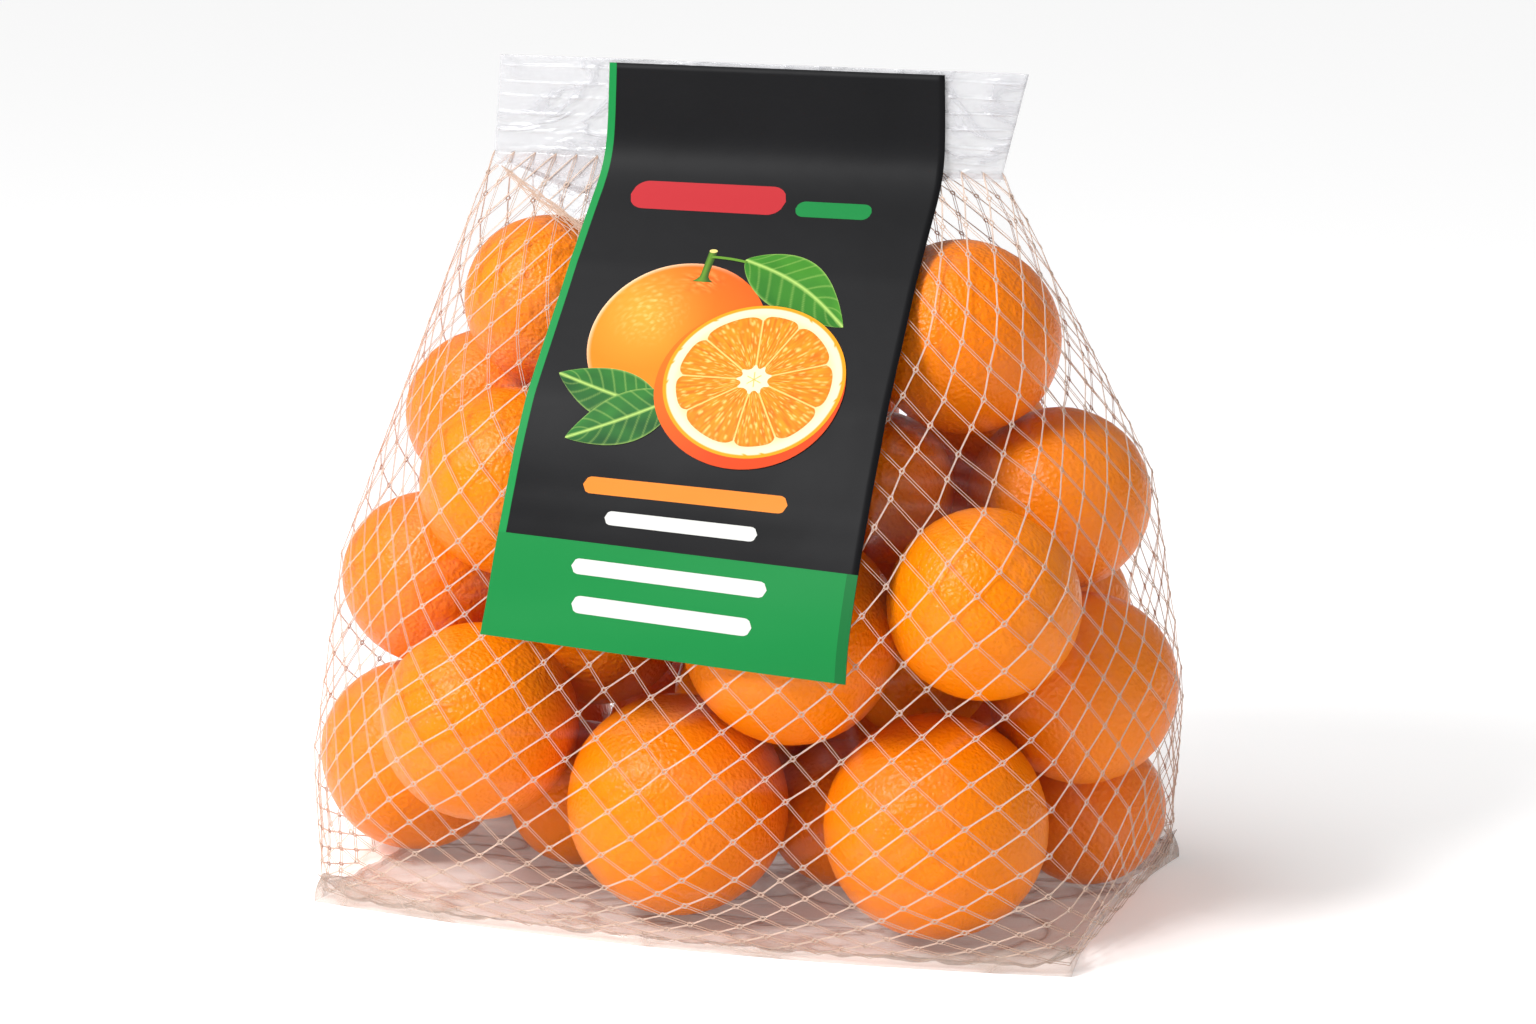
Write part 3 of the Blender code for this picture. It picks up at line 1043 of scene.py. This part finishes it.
def leaf(art, layer, root, tip, upper, lower, bow, dark, light):
    """A pointed leaf with a pale midrib and side veins; upper and lower are its two half widths."""
    chord = Vector(tip) - Vector(root)
    length = chord.length
    across_way = Vector((chord.y, -chord.x)) / length

    def shape(u, v):
        side = 2 * v - 1
        swell = math.sin(math.pi * u ** 0.85) ** 0.85
        width = (upper - bow if side > 0 else lower + bow) * swell
        offset = bow * math.sin(math.pi * u) + width * side
        spot = Vector(root) + chord * u + across_way * offset
        vein = (u * 9 - abs(side) * 1.4) % 1
        tone = mix(dark, light, 0.45 + 0.35 * side + 0.5 * rough(u * 5, side * 1.5, layer))
        tone = mix(tone, INK.vein, 0.32 * max(0.0, 1 - min(vein, 1 - vein) * 9))
        tone = mix(tone, INK.vein, max(0.0, 1 - abs(side) * swell * 12))
        return spot.x, spot.y, mix(tone, INK.vein, 0.5 * max(0.0, abs(side) - 0.93) / 0.07)
    art.lay(layer, 90, 40, shape)


def half_fruit(art, layer):
    """The pictured cut orange: rind, pith, nine segments with pale juice cells, and a core."""
    centre, half = (14, 109), (29.6, 26.0)
    art.disc(
        layer, (13, 111), (31, 27.6),
        lambda turn, reach: mix(INK.peel, INK.peel_shade, 0.75 + 0.4 * math.cos(turn + 0.9)),
    )

    def face(turn, reach):
        ragged = 0.955 + 0.012 * rough(turn * 40, 0, 0)
        if reach > ragged:
            return INK.zest
        return mix(INK.pith, INK.membrane, max(0.0, 0.9 - reach) * 6 if reach > 0.2 else 0.0)
    art.disc(layer + 1, centre, half, face, 160, 60)
    count = 9
    bounds = [2 * math.pi * k / count + 0.35 + 0.09 * math.sin(k * 2.3) for k in range(count)]
    bounds.append(bounds[0] + 2 * math.pi)
    for k in range(count):
        middle = (bounds[k] + bounds[k + 1]) / 2
        spread = (bounds[k + 1] - bounds[k]) / 2

        def segment(u, v, middle=middle, spread=spread, k=k):
            side = 2 * u - 1
            reach = 0.15 + (0.855 - 0.15) * v
            reach -= 0.06 * abs(side) ** 6 * v - 0.05 * abs(side) ** 3 * (1 - v)
            turn = middle + side * max(0.02, spread - 0.010 / max(reach, 0.12))
            streak = rough(turn * 26, reach * 5, k)
            cell = rough(turn * 34, reach * 11, k + 20)
            tone = mix(INK.juice, INK.juice_deep, 0.5 + streak)
            tone = mix(tone, INK.membrane, max(0.0, cell - 0.18) * 3.2)
            edge = max(abs(side), 2 * v - 1)
            tone = mix(tone, INK.juice_deep, max(0.0, edge - 0.86) * 4)
            return *on_oval(centre, half, turn, reach), tone
        art.lay(layer + 2, 30, 44, segment)
    for k in range(3):
        turn = math.pi * k / 3 + 0.4
        way = Vector((math.cos(turn), math.sin(turn)))

        def slit(u, v, way=way):
            spot = Vector(centre) + way * 2.6 * (2 * u - 1) + Vector((way.y, -way.x)) * 0.16 * (2 * v - 1)
            return spot.x, spot.y, INK.membrane
        art.lay(layer + 2, 6, 2, slit)


class NETBAG_OT_label(bpy.types.Operator):
    """Make the printed label: dark field, green border and band, a fruit picture and plain bars"""

    bl_idname = "netbag.label"
    bl_label = "Label"

    def execute(self, context):
        settings = context.scene.net_bag.label
        sheet = LabelSheet(settings.width)
        bm = flat_grid(48, 90)
        for vert in bm.verts:
            across = vert.co.x * sheet.half
            down = (1 - vert.co.y) / 2 * LABEL_LENGTH
            vert.co = sheet.place(across, down)
        self.outward(bm)
        made = new_piece("label_sheet", bm, printed_film("black printed film", settings.ground))
        thicken(made, 0.25 * MM)
        place_in_bag(made, "label_panel", "label_panel")
        self.print(sheet, settings)
        return {"FINISHED"}

    @staticmethod
    def outward(bm):
        """Turn every face to the front."""
        for face in bm.faces:
            face.normal_update()
            if face.normal.y > 0 or (abs(face.normal.y) < 1e-6 and face.normal.z < 0):
                face.normal_flip()

    def print(self, sheet, settings):
        half = sheet.half / MM
        length = LABEL_LENGTH / MM
        art = Print(sheet)
        art.field(1, -half, -half + settings.edge / MM, 0, BAND_TOP, settings.band_edge)
        art.field(1, -half, half - HEM_WIDTH, BAND_TOP, length, settings.band)
        art.field(1, half - HEM_WIDTH, half, BAND_TOP, length, mix(settings.band, settings.ground, 0.35))
        for layer, left, right, middle, height, shade in (
            (1, -46, 8, 44, 11, INK.red), (1, 12, 38, 46.5, 6, settings.band),
            (1, -34, 33, 148, 5.5, INK.amber), (1, -25, 25, 158, 4.5, INK.white),
            (2, -33, 31, 174.5, 5, INK.white), (2, -31, 28, 186.5, 5.5, INK.white),
        ):
            art.bar(layer, left, right, middle, height, shade)
        whole_fruit(art)
        stem(art)
        leaf(art, 3, (0.5, 67), (38.5, 88.5), 11.7, 7.7, 3, INK.leaf, INK.leaf_lit)
        leaf(art, 3, (-13, 122), (-50.5, 112), -8, -9, 0.5, INK.deep_leaf, INK.deep_leaf_lit)
        leaf(art, 5, (-9, 117), (-43, 133.5), -8, -9, 0.5, INK.deep_leaf, INK.deep_leaf_lit)
        half_fruit(art, 7)
        self.outward(art.bm)
        made = new_piece("label_print", art.bm, printing_ink())
        place_in_bag(made, "label_panel")


# ---- stage

CAMERA_AZIMUTH = math.radians(18.5)
CAMERA_ELEVATION = math.radians(12.0)
CAMERA_DISTANCE = 1.525
CAMERA_LENS = 109.6         # millimetres, on a 36 mm sensor
CAMERA_TARGET = Vector((0.0049, 0, 0.1248))
ROOF_SPREAD = 45            # degrees over which the overhead light is spread
ROOF_WAY = Vector((-0.45, -0.30, 0.85))
ROOF_POWER = 1.4
SKY_POWER = 0.33
FLOOR_GLOW = 0.24           # a sweep lit from behind stays white to its far edge


def stand(name, data, place):
    """Put a camera or lamp at a place, facing the camera's target."""
    made = bpy.data.objects.new(name, data)
    made.location = place
    made.rotation_euler = (CAMERA_TARGET - made.location).to_track_quat("-Z", "Y").to_euler()
    bpy.context.scene.collection.objects.link(made)
    return made


def camera_axes():
    """The camera's right, up and back directions."""
    back = Vector((
        math.sin(CAMERA_AZIMUTH) * math.cos(CAMERA_ELEVATION),
        -math.cos(CAMERA_AZIMUTH) * math.cos(CAMERA_ELEVATION),
        math.sin(CAMERA_ELEVATION),
    ))
    right = Vector((0, 0, 1)).cross(back).normalized()
    return right, back.cross(right), back


class NETBAG_OT_stage(bpy.types.Operator):
    """Set the pale floor, the soft lamps and the camera"""

    bl_idname = "netbag.stage"
    bl_label = "Stage"

    def execute(self, context):
        scene = context.scene
        right, up, back = camera_axes()
        lens = bpy.data.cameras.new("camera")
        lens.lens = CAMERA_LENS
        lens.clip_start = 0.05
        scene.camera = stand("camera", lens, CAMERA_TARGET + back * CAMERA_DISTANCE)

        for name, way, distance, size, power in (
            ("key", (-0.60, 0.50, 0.62), 1.4, 0.40, 16),
            ("fill", (0.9, 0.25, 0.6), 1.8, 1.2, 2),
        ):
            lamp = bpy.data.lights.new(name, "AREA")
            lamp.shape = "DISK"
            lamp.size = size
            lamp.energy = power
            x, y, z = way
            stand(name, lamp, CAMERA_TARGET + (right * x + up * y + back * z).normalized() * distance)

        roof = bpy.data.lights.new("roof", "SUN")
        roof.angle = math.radians(ROOF_SPREAD)
        roof.energy = ROOF_POWER
        stand("roof", roof, CAMERA_TARGET + ROOF_WAY)

        world = bpy.data.worlds.new("studio")
        world.use_nodes = True
        sky = world.node_tree.nodes["Background"].inputs
        sky["Color"].default_value = (1, 1, 1, 1)
        sky["Strength"].default_value = SKY_POWER
        scene.world = world
        scene.view_settings.view_transform = "Standard"

        bm = flat_grid(1, 1, 20)
        finish, tree, shader = fresh_material("white studio sweep")
        finish_shader(tree, shader, {
            "Base Color": (0.98, 0.98, 0.98, 1), "Roughness": 0.9,
            "Emission Color": (1, 1, 1, 1), "Emission Strength": FLOOR_GLOW,
        })
        floor = new_piece("floor", bm, finish, smooth=False)
        return {"FINISHED"}


# ---- panel

STEPS = (
    NETBAG_OT_fruit, NETBAG_OT_inner_film, NETBAG_OT_net, NETBAG_OT_header,
    NETBAG_OT_base_film, NETBAG_OT_label, NETBAG_OT_stage,
)


class NETBAG_PT_panel(bpy.types.Panel):
    """The bag's pieces and settings."""

    bl_label = "Net of Oranges"
    bl_idname = "NETBAG_PT_panel"
    bl_space_type = "VIEW_3D"
    bl_region_type = "UI"
    bl_category = "Net Bag"

    def draw(self, context):
        for step in STEPS:
            self.layout.operator(step.bl_idname)
        bag = context.scene.net_bag
        for group in (bag.fruit, bag.net, bag.film, bag.label):
            for key in group.__annotations__:
                self.layout.prop(group, key)


CLASSES = (FruitSettings, NetSettings, FilmSettings, LabelSettings, BagSettings, *STEPS, NETBAG_PT_panel)


def register():
    for cls in CLASSES:
        bpy.utils.register_class(cls)
    bpy.types.Scene.net_bag = PointerProperty(type=BagSettings)


def unregister():
    del bpy.types.Scene.net_bag
    for cls in reversed(CLASSES):
        bpy.utils.unregister_class(cls)


def main():
    register()
    for step in STEPS:
        group, name = step.bl_idname.split(".")
        getattr(getattr(bpy.ops, group), name)()


if __name__ == "__main__":
    main()
